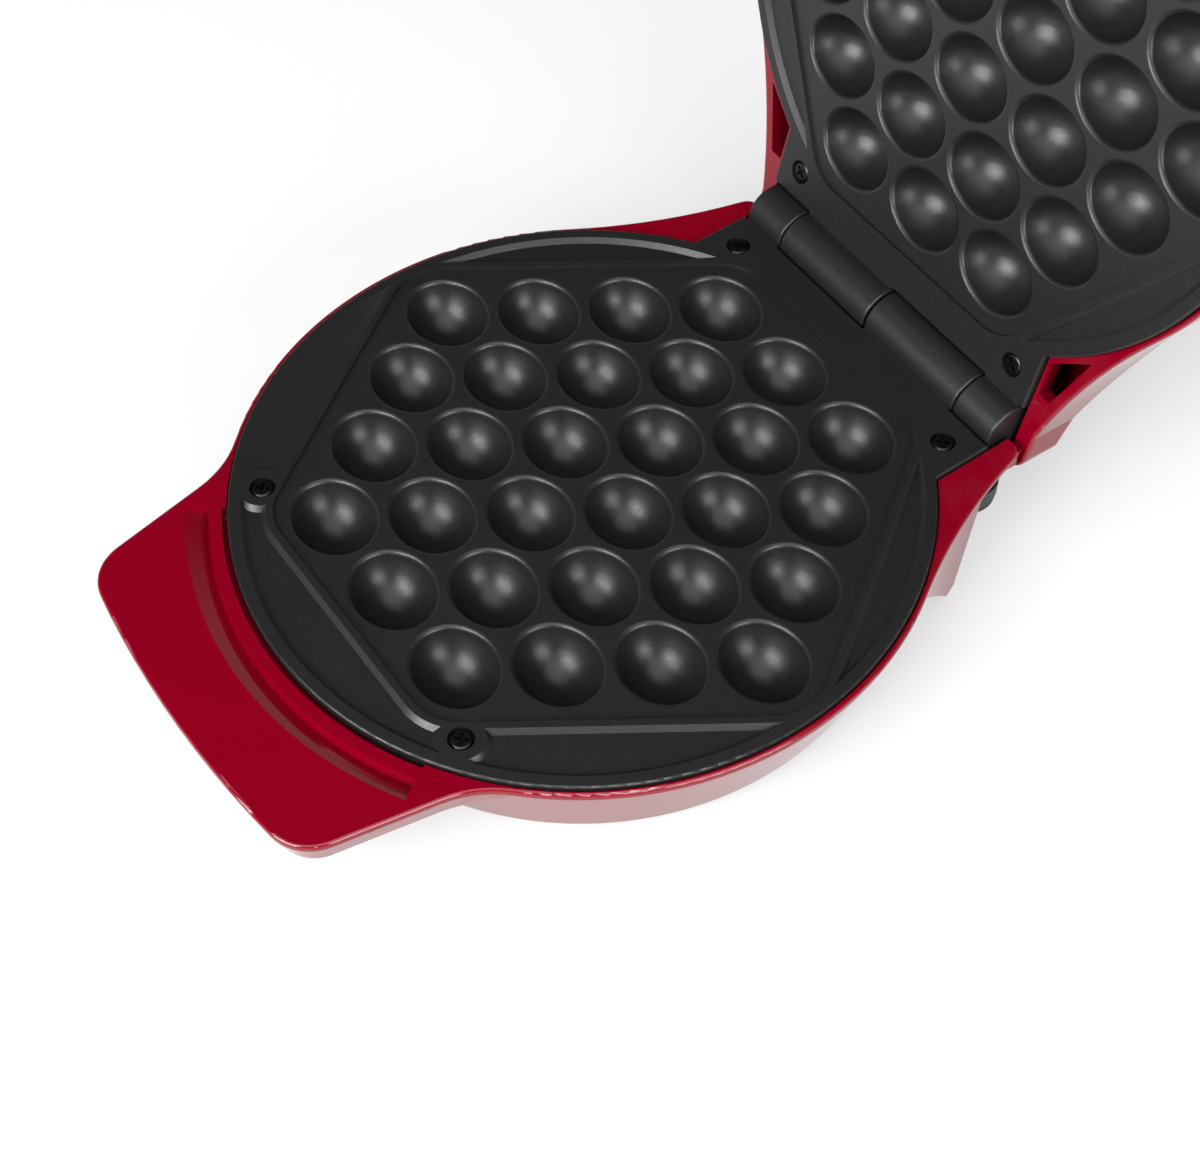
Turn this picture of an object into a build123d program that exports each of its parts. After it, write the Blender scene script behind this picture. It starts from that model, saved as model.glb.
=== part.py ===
from build123d import *
from math import cos, radians, sin, sqrt, tan
import os

# Bubble waffle maker, standing open on its feet.
# Each half has its own frame: x along the hinge, y from the plate's centre toward the hinge,
# z out of the cooking face, so that a depth inside a housing is a negative z in both halves.
# All sizes in millimetres.

# Pose and frame
MATE_Z = 35.0                    # height of the face where the closed plates meet, above the table
PLATE_Y = -30.05                 # the base plate's centre, so that the open object is centred on y = 0
HINGE_Y = 110.0                  # from a plate's centre to the hinge axis
OPEN_ANGLE = 103.8               # how far the lid stands open, on its stop

# Cooking plates
PLATE_R = 99.5
PLATE_THICK = 4.0
PLATE_EDGE = 0.6
TONGUE_HALF = 57.0               # half width of the square tongue toward the hinge
TONGUE_END = 100.9
FIELD_Y = 4.4                    # centre of the field of hollows
PITCH = 30.9                     # between hollows in a row parallel to the hinge
ROW_PITCH = 22.48                # between those rows
ROW_COUNTS = [3, 4, 5, 6, 5, 4, 3]
BALL_R = 13.58                   # sphere of a hollow, before it is squeezed to an egg shape
BALL_RISE = 1.58                 # its centre above the field's floor
EGG_RATIO = 0.85                 # a hollow's width over its length
HOLLOW_RIM = 1.2                 # rounding where a hollow meets the field's floor
HOLLOW_WALL = 2.2
FIELD_DEPTH = 1.0                # leaves the waffle's thin web between the bubbles
FIELD_REACH = 81.6               # from the field's centre to its slanted sides
FIELD_REAR = 84.2                # and to its sides parallel to the hinge
FIELD_FRONT = 82.7
FIELD_CORNER = 15.5
POCKET_R = 96.0                  # outer edge of the shallow overflow pockets
POCKET_GAP = 2.0                 # land between the field's side and a pocket
POCKET_DEPTH = 1.4
POCKET_SLOPE = 45.0              # of a pocket's walls, from upright
SCREW_LAND_R = 6.6
FRONT_SCREW = (51.0, -74.2)
REAR_SCREW = (48.0, 91.7)
RECESS_R = 3.7
RECESS_DEPTH = 2.3
SCREW_HOLE_R = 2.2

# Hinge
KNUCKLE_R = 8.5
KNUCKLE_ROUND = 0.6
END_KNUCKLE = (-56.0, -40.6)     # local x from, to
MIDDLE_KNUCKLE = (0.4, 40.2)
WEB_THICK = 6.0
WEB_START = 98.0
PIN_R = 2.5
PIN_PLAY = 0.05                  # radial clearance in the lid's knuckles
PIN_BLIND = 12.4                 # how deep the lid's end knuckle is bored
PIN_SHORT = 0.4                  # what the pin leaves free at the bottom of that bore
PIN_HEAD_R = 4.2
PIN_HEAD_THICK = 0.9

# Housings, seen from above
BODY_R = 101.3
WING_ANGLE = 32.1                # where the flare toward the hinge leaves the circle
WING_HALF = 62.9
WING_CORNER = 5.0
BASE_REAR = 108.75
LID_REAR = 122.0
GRIP_ANGLE = -45.2               # where the flare toward the grip leaves the circle
GRIP_ROOT = (62.8, -87.8)
GRIP_FRONT = (55.4, -126.6)
GRIP_BOW = -131.3
GRIP_CORNER = 14.0

# Housings, depths below the cooking face
WALL = 2.4
PLATE_GAP = 0.5
SHELF_TOP = 4.2
SHELF_THICK = 2.2
SHELF_R = 95.2
SHELF_REAR = 88.6                # behind this line the shelf is whole
BOSS_R = 4.6
FRONT_BOSS_DEPTH = 15.4
EDGE_ROUND = 0.9
SLOT_HALF = 57.5                 # slot for the knuckles
SLOT_START = 101.4
SLOT_DEPTH = 9.6
SLOT_FLOOR = 12.0
WEB_NOTCH = 0.5
BASE_RIM = 1.2
BASE_BAND = 3.2                  # end of the straight band below the rim
BASE_DEPTH = 32.5
BASE_FOOT_R = 91.4
BASE_GRIP_DEPTH = 12.0
GRIP_LEAN = 18.7                 # the grip's skirt leans in like the bowl
REAR_LEAN_TOP = 88.5             # the base's leaning rear wall, at its top
REAR_LEAN_FOOT = 79.5            # and at its foot
REAR_WALL = 2.2                  # that wall's thickness along y
WING_FRONT_TOP = 54.0            # front end of the wing's upright sides, at their top
WING_FRONT_FOOT = 75.1           # and at their foot
CHEEK_HALF = 61.8                # hinge cheeks beside the knuckles
CHEEK_START = 96.0
CHEEK_DEPTH = 9.0
BASE_SLOT_REAR = 107.5
LID_RIM = 2.0
LID_BAND = 4.2
LID_DEPTH = 34.0
LID_TAPER = 5.0
LID_CROWN = 4.0
LID_WALL = 3.15                  # the lid's side walls, with room for their draft
LID_SLOPE_START = 79.0           # where the lid starts to get shallower toward the hinge
LID_SLOPE = 0.35                 # depth lost there per millimetre
LID_GRIP_DEPTH = 13.0
LID_SLOT_REAR = 119.5
SIDE_POCKET = [(58.9, 83.0), (70.6, 74.0), (63.2, 94.6), (58.9, 94.6)]
SIDE_POCKET_DEPTH = 8.0          # opens into the lid's cavity

# Moat on the base's grip
LIP_HALF_ANGLE = 31.0
LIP_INNER_R = 101.2
LIP_OUTER_R = 104.4
MOAT_FLOOR_R = 105.4
MOAT_DEPTH = 4.2
MOAT_OUTER_R = 111.3
GRIP_ROOF = 6.8                  # underside of the grip's top below the moat
GRIP_ROOF_FRONT = 3.9            # and in front of it
MOAT_ROOF_R = 113.5

# Heating and fixings, the same in both halves
RING_R = 58.0
TUBE_R = 3.3
TUBE_DEPTH = 19.2
LEG_X = 16.0
LEG_END = 72.0
LEG_OPENING = 28.0               # half the angle over which the ring stays open
TERMINAL_R = 1.5
TERMINAL_LONG = 7.0
CLAMPS = 3
CLAMP_START = 30.0
CLAMP_SPREAD = 8.4               # a clamp's screws from the ring, inward and outward
CLAMP_POST_R = 3.3
STRAP_WIDTH = 8.0
STRAP_THICK = 1.6
SMALL_SCREW_R = 1.4
SMALL_SCREW_LONG = 6.0
SMALL_HEAD = (2.7, 1.5)          # radius and thickness
HEAD_ROUND = 0.45                # of a head's thickness
CROSS_REACH = 0.62               # half length of a cross recess, of the head's radius
CROSS_WIDTH = 0.26               # its width, of the head's radius
CROSS_DEPTH = 0.7                # of the head's thickness
PLATE_SHANK_R = 1.9
PLATE_SHANK_LONG = 8.5
PLATE_HEAD = (3.2, 2.0)
SCREW_PLAY = 0.05
SCREW_END_GAP = 0.3
SHIELD_R = 73.0
SHIELD_THICK = 0.6
SHIELD_DEPTH = 27.2
SHIELD_RIM = 3.0
SHIELD_POST_R = 3.6
SHIELD_POST_RING = 46.0
SHIELD_POST_START = 90.0
WIRE_R = 0.9
WIRE_DEPTH = 21.0
WIRE_RING = 75.5
OUTER_RING = 84.0
FUSE_R = 2.2
PAD_ANGLE = 281.8                # the thermostat's pad, cast on each plate
PAD_R = 8.0
PAD_DEPTH = 12.0

# Base only
THERMOSTAT_R = 7.0
THERMOSTAT_HIGH = 7.0
TAB_SIZE = (4.0, 1.0, 4.0)
TAB_SPREAD = 4.2
COVER_THICK = 2.0
COVER_GAP = 0.3
COVER_SCREW_PLACES = [(side * x, y) for x, y in ((76.5, -34.5), (67.0, 50.5)) for side in (-1, 1)]
COVER_POST_R = 6.5
COVER_POST_TOP = 23.0
VENTS = 5
VENT_PITCH = 12.0
VENT_SIZE = (44.0, 4.6)
FOOT_R = 7.0
FRONT_FOOT_X = 50.0
FRONT_FOOT_Y = -58.0
STUD_R = 2.4
STUD_HIGH = 2.0
LEG_STAND_X = 46.5               # legs of the bottom cover that carry the rear feet
LEG_STAND_Y = 106.6
LEG_STAND_START = 66.0
LEG_STAND_R = 9.4
LEG_STAND_TOP = 27.0
LEG_GAP = 0.4
REAR_FOOT_R = 9.0
GLAND_X = -28.0
GLAND_DEPTH = 21.2
GLAND_R = 5.0
GLAND_BORE_R = 3.4
GLAND_START = 73.5
GLAND_PAD = (18.0, 12.0)         # width and height of the flat pad that it passes through
GLAND_PAD_START = 78.0
GLAND_PAD_END = 89.0
GLAND_FLANGE = (7.2, 2.5)        # radius and thickness
GLAND_END = 103.0
GLAND_BOOT = (5.8, 4.6)          # radius at the flange and at the end
NUT_FLATS = 11.0
NUT_THICK = 4.0
BLOCK_ANGLE = 165.0
BLOCK_RING = 80.0
BLOCK_SIZE = (12.0, 16.0, 9.0)
BLOCK_STEP = 1.0                 # the block overhangs its stand by this
BASE_FUSE = (300.0, 311.0)
BASE_WIRES = [
    (OUTER_RING, 118.0, 159.3),
    (BLOCK_RING, 116.0, 159.1),
    (WIRE_RING, 106.0, 158.7),
    (WIRE_RING, 171.3, 277.6),
    (WIRE_RING, 286.0, 299.8),
    (WIRE_RING, 311.2, 433.5),
]

# Lid only
STOP_X = (57.9, 61.0)
STOP_Y = (113.9, 116.5)
STOP_DEPTH = (0.45, 8.0)
LAMP_X = 13.0
LAMP_Y = -80.5
LAMP_R = 2.5
LAMP_ROUND = 1.5
LAMP_LONG = 8.0
LAMP_DEPTH = 21.5
HOLDER_SIZE = (48.0, 9.0)
HOLDER_DEPTH = (22.5, 25.5)
HOLDER_POST_X = 21.0
HOLDER_POST_R = 2.2
LENS_R = 4.0
LENS_FLANGE = (5.4, 0.8)         # radius and thickness
LENS_PROUD = 0.7
LENS_ROUND = 0.55
LID_FUSE = (200.0, 211.0)
LID_WIRES = [
    (WIRE_RING, 111.5, 199.8),
    (WIRE_RING, 211.2, 433.5),
    (OUTER_RING, 111.5, 256.0),
]

swing = radians(OPEN_ANGLE)
BASE = Plane(origin=(0, PLATE_Y, MATE_Z))
LID = Plane(
    origin=(0, PLATE_Y + HINGE_Y - HINGE_Y * cos(swing), MATE_Z + HINGE_Y * sin(swing)),
    x_dir=(-1, 0, 0),
    z_dir=(0, -sin(swing), -cos(swing)),
)
SHELF_BACK = SHELF_TOP + SHELF_THICK
STRAP_TOP = TUBE_DEPTH + TUBE_R
COVER_TOP = BASE_DEPTH - COVER_THICK
LID_ROOF = LID_DEPTH - WALL
BOTH_SIDES = (-1, 1)
FRONT_SCREW_PLACES = [(side * FRONT_SCREW[0], FRONT_SCREW[1]) for side in BOTH_SIDES]
REAR_SCREW_PLACES = [(side * REAR_SCREW[0], REAR_SCREW[1]) for side in BOTH_SIDES]
PLATE_SCREW_PLACES = FRONT_SCREW_PLACES + REAR_SCREW_PLACES
FRONT_FEET = [(side * FRONT_FOOT_X, FRONT_FOOT_Y) for side in BOTH_SIDES]
REAR_FEET = [(side * LEG_STAND_X, LEG_STAND_Y) for side in BOTH_SIDES]

os.makedirs("parts", exist_ok=True)


def save(name, piece):
    """Label a finished piece and write its STEP file."""
    piece.label = name
    export_step(piece, f"parts/{name}.step")


# Planes and axes of a half


def across(half, x):
    """Plane square to the hinge at local x; its sketch axes are the half's y and z."""
    return Plane(origin=half.from_local_coords((x, 0, 0)), x_dir=half.y_dir, z_dir=half.x_dir)


def radial(half, angle):
    """Plane through the half's axis; its sketch axes are the radius at that angle and the half's z."""
    out = half.x_dir * cos(radians(angle)) + half.y_dir * sin(radians(angle))
    return Plane(origin=half.origin, x_dir=out, z_dir=out.cross(half.z_dir))


def facing(half, x, y, depth):
    """Plane at a local point that looks toward the hinge; its sketch y axis is the half's z."""
    return Plane(origin=half.from_local_coords((x, y, -depth)), x_dir=half.x_dir * -1, z_dir=half.y_dir)


def back_of(half):
    """The half's frame seen from behind, for screws that enter from there; x is mirrored."""
    return Plane(origin=half.origin, x_dir=half.x_dir * -1, z_dir=half.z_dir * -1)


def axis_of(half):
    return Axis(half.origin, half.z_dir)


def ring_places(radii, count, start):
    """Points at each radius, spaced evenly round the half's axis."""
    turns = [radians(start + 360 / count * k) for k in range(count)]
    return [(r * cos(turn), r * sin(turn)) for turn in turns for r in radii]


CLAMP_SCREW_PLACES = ring_places((RING_R - CLAMP_SPREAD, RING_R + CLAMP_SPREAD), CLAMPS, CLAMP_START)
SHIELD_SCREW_PLACES = ring_places((SHIELD_POST_RING,), CLAMPS, SHIELD_POST_START)


# Outlines


def plate_outline(grow=0.0):
    with BuildSketch(Plane.XY, mode=Mode.PRIVATE) as outline:
        Circle(PLATE_R + grow)
        with Locations((0, (TONGUE_END + grow) / 2)):
            Rectangle(2 * (TONGUE_HALF + grow), TONGUE_END + grow)
    return outline.sketch


def field_outline(grow=0.0):
    """Hexagon round the hollows, its slanted sides parallel to their diagonal rows."""
    lean = sqrt((PITCH / 2) ** 2 + ROW_PITCH ** 2)
    nx, ny = ROW_PITCH / lean, PITCH / 2 / lean
    reach = FIELD_REACH + grow
    rear, front = FIELD_REAR + grow, FIELD_FRONT + grow
    rear_x, front_x = (reach - ny * rear) / nx, (reach - ny * front) / nx
    corners = [(reach / nx, 0), (rear_x, rear), (-rear_x, rear),
               (-reach / nx, 0), (-front_x, -front), (front_x, -front)]
    with BuildSketch(Plane.XY, mode=Mode.PRIVATE) as outline:
        with BuildLine():
            Polyline([(x, y + FIELD_Y) for x, y in corners], close=True)
        make_face()
        fillet(outline.vertices(), FIELD_CORNER + grow)
    return outline.sketch


def housing_outline(rear, inset=0.0):
    """A housing from above: a circle that flares into the hinge wing and into the grip."""
    wing_turn, grip_turn = radians(WING_ANGLE), radians(GRIP_ANGLE)
    wing = (BODY_R * cos(wing_turn), BODY_R * sin(wing_turn))
    grip = (BODY_R * cos(grip_turn), BODY_R * sin(grip_turn))
    with BuildSketch(Plane.XY, mode=Mode.PRIVATE) as outline:
        with BuildLine():
            ThreePointArc(grip, (BODY_R, 0), wing)
            TangentArc(wing, (WING_HALF, BASE_REAR), tangent=(-sin(wing_turn), cos(wing_turn)))
            if rear > BASE_REAR:
                Line((WING_HALF, BASE_REAR), (WING_HALF, rear))
            Line((WING_HALF, rear), (0, rear))
            TangentArc(grip, GRIP_ROOT, tangent=(sin(grip_turn), -cos(grip_turn)))
            Line(GRIP_ROOT, GRIP_FRONT)
            mirror(about=Plane.YZ)
            ThreePointArc(GRIP_FRONT, (0, GRIP_BOW), (-GRIP_FRONT[0], GRIP_FRONT[1]))
        make_face()
        rear_corners = outline.vertices().group_by(Axis.Y)[-1].filter_by(lambda v: abs(v.X) > 1)
        fillet(rear_corners, WING_CORNER)
        fillet(outline.vertices().group_by(Axis.Y)[0], GRIP_CORNER)
        if inset:
            offset(amount=-inset)
    return outline.sketch


def wing_outline(rear, inset=0.0):
    """The part of a housing's outline behind the start of its rear flares."""
    with BuildSketch(Plane.XY, mode=Mode.PRIVATE) as outline:
        add(housing_outline(rear, inset))
        with Locations((0, BODY_R * sin(radians(WING_ANGLE)) - 2 * BODY_R)):
            Rectangle(3 * BODY_R, 4 * BODY_R, mode=Mode.SUBTRACT)
    return outline.sketch


def grip_outline(inset=0.0):
    """The part of a housing's outline in front of the start of its grip flares."""
    with BuildSketch(Plane.XY, mode=Mode.PRIVATE) as outline:
        add(housing_outline(BASE_REAR, inset))
        with Locations((0, BODY_R * sin(radians(GRIP_ANGLE)) + 2 * BODY_R)):
            Rectangle(3 * BODY_R, 4 * BODY_R, mode=Mode.SUBTRACT)
    return outline.sketch


def lid_outline(inset=0.0):
    """The lid without its grip."""
    with BuildSketch(Plane.XY, mode=Mode.PRIVATE) as outline:
        add(wing_outline(LID_REAR, inset))
        Circle(BODY_R - inset)
    return outline.sketch


def shelf_opening():
    """Opening below a plate; it clears the hollows and leaves the shelf and the screws' lands."""
    with BuildSketch(Plane.XY, mode=Mode.PRIVATE) as outline:
        Circle(SHELF_R)
        with Locations((0, SHELF_REAR + BODY_R)):
            Rectangle(3 * BODY_R, 2 * BODY_R, mode=Mode.SUBTRACT)
        with Locations(*FRONT_SCREW_PLACES):
            Circle(SCREW_LAND_R, mode=Mode.SUBTRACT)
    return outline.sketch


def web_notches():
    """Clearance below the tongue for the webs of the plate's own knuckles."""
    with BuildSketch(Plane.XY, mode=Mode.PRIVATE) as outline:
        for start, end in (END_KNUCKLE, MIDDLE_KNUCKLE):
            with Locations(((start + end) / 2, (WEB_START + SLOT_START) / 2)):
                Rectangle(end - start + 2 * WEB_NOTCH, SLOT_START - WEB_START + 2 * WEB_NOTCH)
    return outline.sketch


# Small parts that repeat


def pan_screws(half, places, head_depth, head, shank_r, shank_long):
    """Cross-recessed pan screws that point away from the half's face; head_depth is under the head."""
    head_r, head_thick = head
    arm = (2 * head_r * CROSS_REACH, head_r * CROSS_WIDTH)
    with BuildPart() as screws:
        with BuildSketch(half.offset(-head_depth)):
            with Locations(*places):
                Circle(head_r)
        extrude(amount=head_thick)
        rims = screws.edges().group_by(axis_of(half))[-1]
        fillet(rims, head_thick * HEAD_ROUND)
        with BuildSketch(half.offset(-head_depth)):
            with Locations(*places):
                Circle(shank_r)
        extrude(amount=-shank_long)
        with BuildSketch(half.offset(head_thick - head_depth)):
            with Locations(*places):
                Rectangle(*arm, rotation=45)
                Rectangle(*arm, rotation=-45)
        extrude(amount=-head_thick * CROSS_DEPTH, mode=Mode.SUBTRACT)
    return screws.part


def arcs_round(half, ring_arcs, depth, section_r):
    """Round wires that follow rings about the half's axis; each arc has a radius and two angles."""
    with BuildPart() as wires:
        for ring, start, end in ring_arcs:
            with BuildSketch(radial(half, start)):
                with Locations((ring, -depth)):
                    Circle(section_r)
            revolve(axis=axis_of(half), revolution_arc=end - start)
    return wires.part


# Cooking plates


def hollow_places():
    """Centres of the 30 hollows, in rows parallel to the hinge."""
    places = []
    for row, count in enumerate(ROW_COUNTS):
        y = FIELD_Y + (row - len(ROW_COUNTS) // 2) * ROW_PITCH
        places += [((k - (count - 1) / 2) * PITCH, y) for k in range(count)]
    return places


def hollow_cutter():
    """One egg-shaped hollow with its rounded rim; its origin lies on the field's floor."""
    far = 4 * BALL_R
    with BuildPart() as cutter:
        with BuildSketch(Plane.XZ) as profile:
            with Locations((0, BALL_RISE)):
                Circle(BALL_R)
            with Locations((0, far / 2)):
                Rectangle(far, far, mode=Mode.SUBTRACT)
            with Locations((0, FIELD_DEPTH / 2)):
                Rectangle(far, FIELD_DEPTH)
            fillet(profile.vertices().filter_by(lambda v: abs(v.Z) < 0.01 and abs(v.X) < BALL_R), HOLLOW_RIM)
            with Locations((-far / 2, 0)):
                Rectangle(far, far, mode=Mode.SUBTRACT)
            with Locations((BALL_R + HOLLOW_RIM + far / 2, 0)):
                Rectangle(far, far, mode=Mode.SUBTRACT)
        revolve(axis=Axis.Z)
        scale(by=(1, EGG_RATIO, 1))
    return cutter.part


def knuckle(start, end):
    """Rounded hinge knuckle from one local x to another, with the web that joins it to the plate."""
    with BuildPart() as piece:
        with BuildSketch(across(Plane.XY, start)):
            with Locations((HINGE_Y, 0)):
                Circle(KNUCKLE_R)
        extrude(amount=end - start)
        fillet(piece.edges().filter_by(GeomType.CIRCLE), KNUCKLE_ROUND)
        with BuildSketch(across(Plane.XY, start + KNUCKLE_ROUND)):
            with Locations(((WEB_START + HINGE_Y) / 2, -WEB_THICK / 2)):
                Rectangle(HINGE_Y - WEB_START, WEB_THICK)
        extrude(amount=end - start - 2 * KNUCKLE_ROUND)
    return piece.part


def pockets():
    """Outlines of the shallow overflow pockets between the field and the plate's edge."""
    with BuildSketch(Plane.XY, mode=Mode.PRIVATE) as outlines:
        Circle(POCKET_R)
        add(field_outline(POCKET_GAP), mode=Mode.SUBTRACT)
        with Locations((0, HINGE_Y)):
            Rectangle(2 * REAR_SCREW[0], HINGE_Y / 2, mode=Mode.SUBTRACT)
        with Locations(*PLATE_SCREW_PLACES):
            Circle(SCREW_LAND_R, mode=Mode.SUBTRACT)
    return outlines.sketch


def plate_casting():
    """Cast plate in a half's own frame: hollows, overflow pockets, screw recesses, posts and knuckles."""
    cutter = hollow_cutter()
    with BuildPart() as casting:
        with Locations(Plane.XY.offset(BALL_RISE - FIELD_DEPTH)):
            with Locations(*hollow_places()):
                Sphere(BALL_R + HOLLOW_WALL)
        split(bisect_by=Plane.XY.offset(-PLATE_THICK / 2), keep=Keep.BOTTOM)
        with BuildSketch(Plane.XY.offset(-PLATE_THICK / 2)):
            with PolarLocations(WIRE_RING, 1, start_angle=PAD_ANGLE):
                Circle(PAD_R)
        extrude(amount=PLATE_THICK / 2 - PAD_DEPTH)
        with BuildSketch(Plane.XY.offset(-PLATE_THICK / 2)):
            with Locations(*CLAMP_SCREW_PLACES):
                Circle(CLAMP_POST_R)
        extrude(amount=PLATE_THICK / 2 - STRAP_TOP)

        with BuildSketch(Plane.XY.offset(-PLATE_THICK)):
            add(plate_outline())
        extrude(amount=PLATE_THICK)
        fillet(casting.faces().sort_by(Axis.Z)[-1].outer_wire().edges(), PLATE_EDGE)
        for start, end in (END_KNUCKLE, MIDDLE_KNUCKLE):
            add(knuckle(start, end))

        with BuildSketch():
            add(field_outline())
        extrude(amount=-FIELD_DEPTH, mode=Mode.SUBTRACT)
        with BuildSketch():
            add(pockets())
        extrude(amount=-POCKET_DEPTH, taper=POCKET_SLOPE, mode=Mode.SUBTRACT)
        for radius, depth in ((RECESS_R, RECESS_DEPTH), (SCREW_HOLE_R, 2 * PLATE_THICK)):
            with BuildSketch():
                with Locations(*PLATE_SCREW_PLACES):
                    Circle(radius)
            extrude(amount=-depth, mode=Mode.SUBTRACT)
        with BuildSketch(Plane.XY.offset(-STRAP_TOP)):
            with Locations(*CLAMP_SCREW_PLACES):
                Circle(SMALL_SCREW_R + SCREW_PLAY)
        extrude(amount=SMALL_SCREW_LONG, mode=Mode.SUBTRACT)
        with Locations(Plane.XY.offset(-FIELD_DEPTH)):
            with Locations(*hollow_places()):
                add(cutter, mode=Mode.SUBTRACT)
    return casting.part


def cooking_plate(half, casting, bore_start, bore_r):
    """A half's casting in its place, with its knuckles bored from one side."""
    with BuildPart() as plate:
        with Locations(half):
            add(casting)
        with BuildSketch(across(half, bore_start)):
            with Locations((HINGE_Y, 0)):
                Circle(bore_r)
        extrude(amount=MIDDLE_KNUCKLE[1] - bore_start + 1, mode=Mode.SUBTRACT)
    return plate.part


# Heating, the same in both halves


def heating_element(half):
    """Bent tubular element whose legs end in two terminal pins toward the hinge."""
    opening = radians(LEG_OPENING)
    ring_x, ring_y = RING_R * sin(opening), RING_R * cos(opening)
    bend_r = (ring_x - LEG_X) / (1 - sin(opening))
    bend_y = ring_y + bend_r * cos(opening)
    middle = half.offset(-TUBE_DEPTH)
    with BuildPart() as element:
        with BuildSketch(radial(middle, 90 + LEG_OPENING)):
            with Locations((RING_R, 0)):
                Circle(TUBE_R)
        revolve(axis=axis_of(half), revolution_arc=360 - 2 * LEG_OPENING)
        for side in BOTH_SIDES:
            centre = middle.from_local_coords((side * (LEG_X + bend_r), bend_y, 0))
            with BuildSketch(facing(half, side * LEG_X, bend_y, TUBE_DEPTH)):
                Circle(TUBE_R)
            revolve(axis=Axis(centre, half.z_dir), revolution_arc=side * (90 - LEG_OPENING))
        for radius, start, end in ((TUBE_R, bend_y, LEG_END), (TERMINAL_R, LEG_END, LEG_END + TERMINAL_LONG)):
            with BuildSketch(facing(half, 0, start, TUBE_DEPTH)):
                with Locations((-LEG_X, 0), (LEG_X, 0)):
                    Circle(radius)
            extrude(amount=end - start)
    return element.part


def element_clamps(half):
    """Straps that hold the element against the plate."""
    with BuildPart() as straps:
        with BuildSketch(half.offset(-STRAP_TOP)):
            with PolarLocations(RING_R, CLAMPS, start_angle=CLAMP_START):
                SlotCenterToCenter(2 * CLAMP_SPREAD, STRAP_WIDTH)
            with Locations(*CLAMP_SCREW_PLACES):
                Circle(SMALL_SCREW_R + SCREW_PLAY, mode=Mode.SUBTRACT)
        extrude(amount=-STRAP_THICK)
    return straps.part


def clamp_screws(half):
    places = [(-x, y) for x, y in CLAMP_SCREW_PLACES]
    return pan_screws(back_of(half), places, -STRAP_TOP - STRAP_THICK, SMALL_HEAD, SMALL_SCREW_R, SMALL_SCREW_LONG)


def heat_shield(half):
    """Shallow sheet tray between the element and the outer shell."""
    with BuildPart() as shield:
        with BuildSketch(half.offset(-SHIELD_DEPTH)):
            Circle(SHIELD_R)
            with Locations(*SHIELD_SCREW_PLACES):
                Circle(SMALL_SCREW_R + SCREW_PLAY, mode=Mode.SUBTRACT)
        extrude(amount=-SHIELD_THICK)
        with BuildSketch(half.offset(-SHIELD_DEPTH)):
            Circle(SHIELD_R)
            Circle(SHIELD_R - SHIELD_THICK, mode=Mode.SUBTRACT)
        extrude(amount=SHIELD_RIM)
    return shield.part


def shield_screws(half):
    return pan_screws(half, SHIELD_SCREW_PLACES, SHIELD_DEPTH, SMALL_HEAD, SMALL_SCREW_R, STUD_HIGH)


def plate_screws(half):
    return pan_screws(half, PLATE_SCREW_PLACES, RECESS_DEPTH, PLATE_HEAD, PLATE_SHANK_R, PLATE_SHANK_LONG)


# Base housing


def bowl_r(depth):
    """The bowl's outer radius at a depth below its band."""
    return BODY_R - (BODY_R - BASE_FOOT_R) * (depth - BASE_BAND) / (BASE_DEPTH - BASE_BAND)


def rear_wedge(inset=0.0):
    """Space behind the base's leaning rear wall, below its deck."""
    top = REAR_LEAN_TOP - inset
    lean = (REAR_LEAN_TOP - REAR_LEAN_FOOT) / (BASE_DEPTH - BASE_BAND)
    below = BASE_DEPTH + 1
    with BuildPart() as wedge:
        with BuildSketch(across(BASE, -BODY_R)):
            with BuildLine():
                Polyline([(top, -BASE_BAND), (BODY_R + HINGE_Y, -BASE_BAND), (BODY_R + HINGE_Y, -below),
                          (top - lean * (below - BASE_BAND), -below)], close=True)
            make_face()
        extrude(amount=2 * BODY_R)
    return wedge.part


def wing_block(inset=0.0, rear_inset=0.0):
    """Upright sides of the base's hinge wing, between its slanted front ends and the leaning rear wall."""
    front = (WING_FRONT_FOOT - WING_FRONT_TOP) / (BASE_DEPTH - BASE_BAND)
    below = BASE_DEPTH + 1
    with BuildPart() as block:
        with BuildSketch(BASE.offset(-BASE_BAND)):
            add(wing_outline(BASE_REAR, inset))
        extrude(amount=BASE_BAND - BASE_DEPTH)
        with BuildSketch(across(BASE, -BODY_R)):
            with BuildLine():
                Polyline([(0, -BASE_BAND), (WING_FRONT_TOP + inset, -BASE_BAND),
                          (WING_FRONT_TOP + inset + front * (below - BASE_BAND), -below), (0, -below)], close=True)
            make_face()
        extrude(amount=2 * BODY_R, mode=Mode.SUBTRACT)
        add(rear_wedge(rear_inset), mode=Mode.SUBTRACT)
    return block.part


def grip_skirt(top, inset=0.0):
    """Block below the grip's deck from a depth to the skirt's foot; its sides lean in like the bowl."""
    lean = tan(radians(GRIP_LEAN))
    with BuildPart() as block:
        with BuildSketch(BASE.offset(-top)):
            add(grip_outline(inset + lean * (top - BASE_BAND)))
        extrude(amount=top - BASE_GRIP_DEPTH, taper=GRIP_LEAN)
    return block.part


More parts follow.
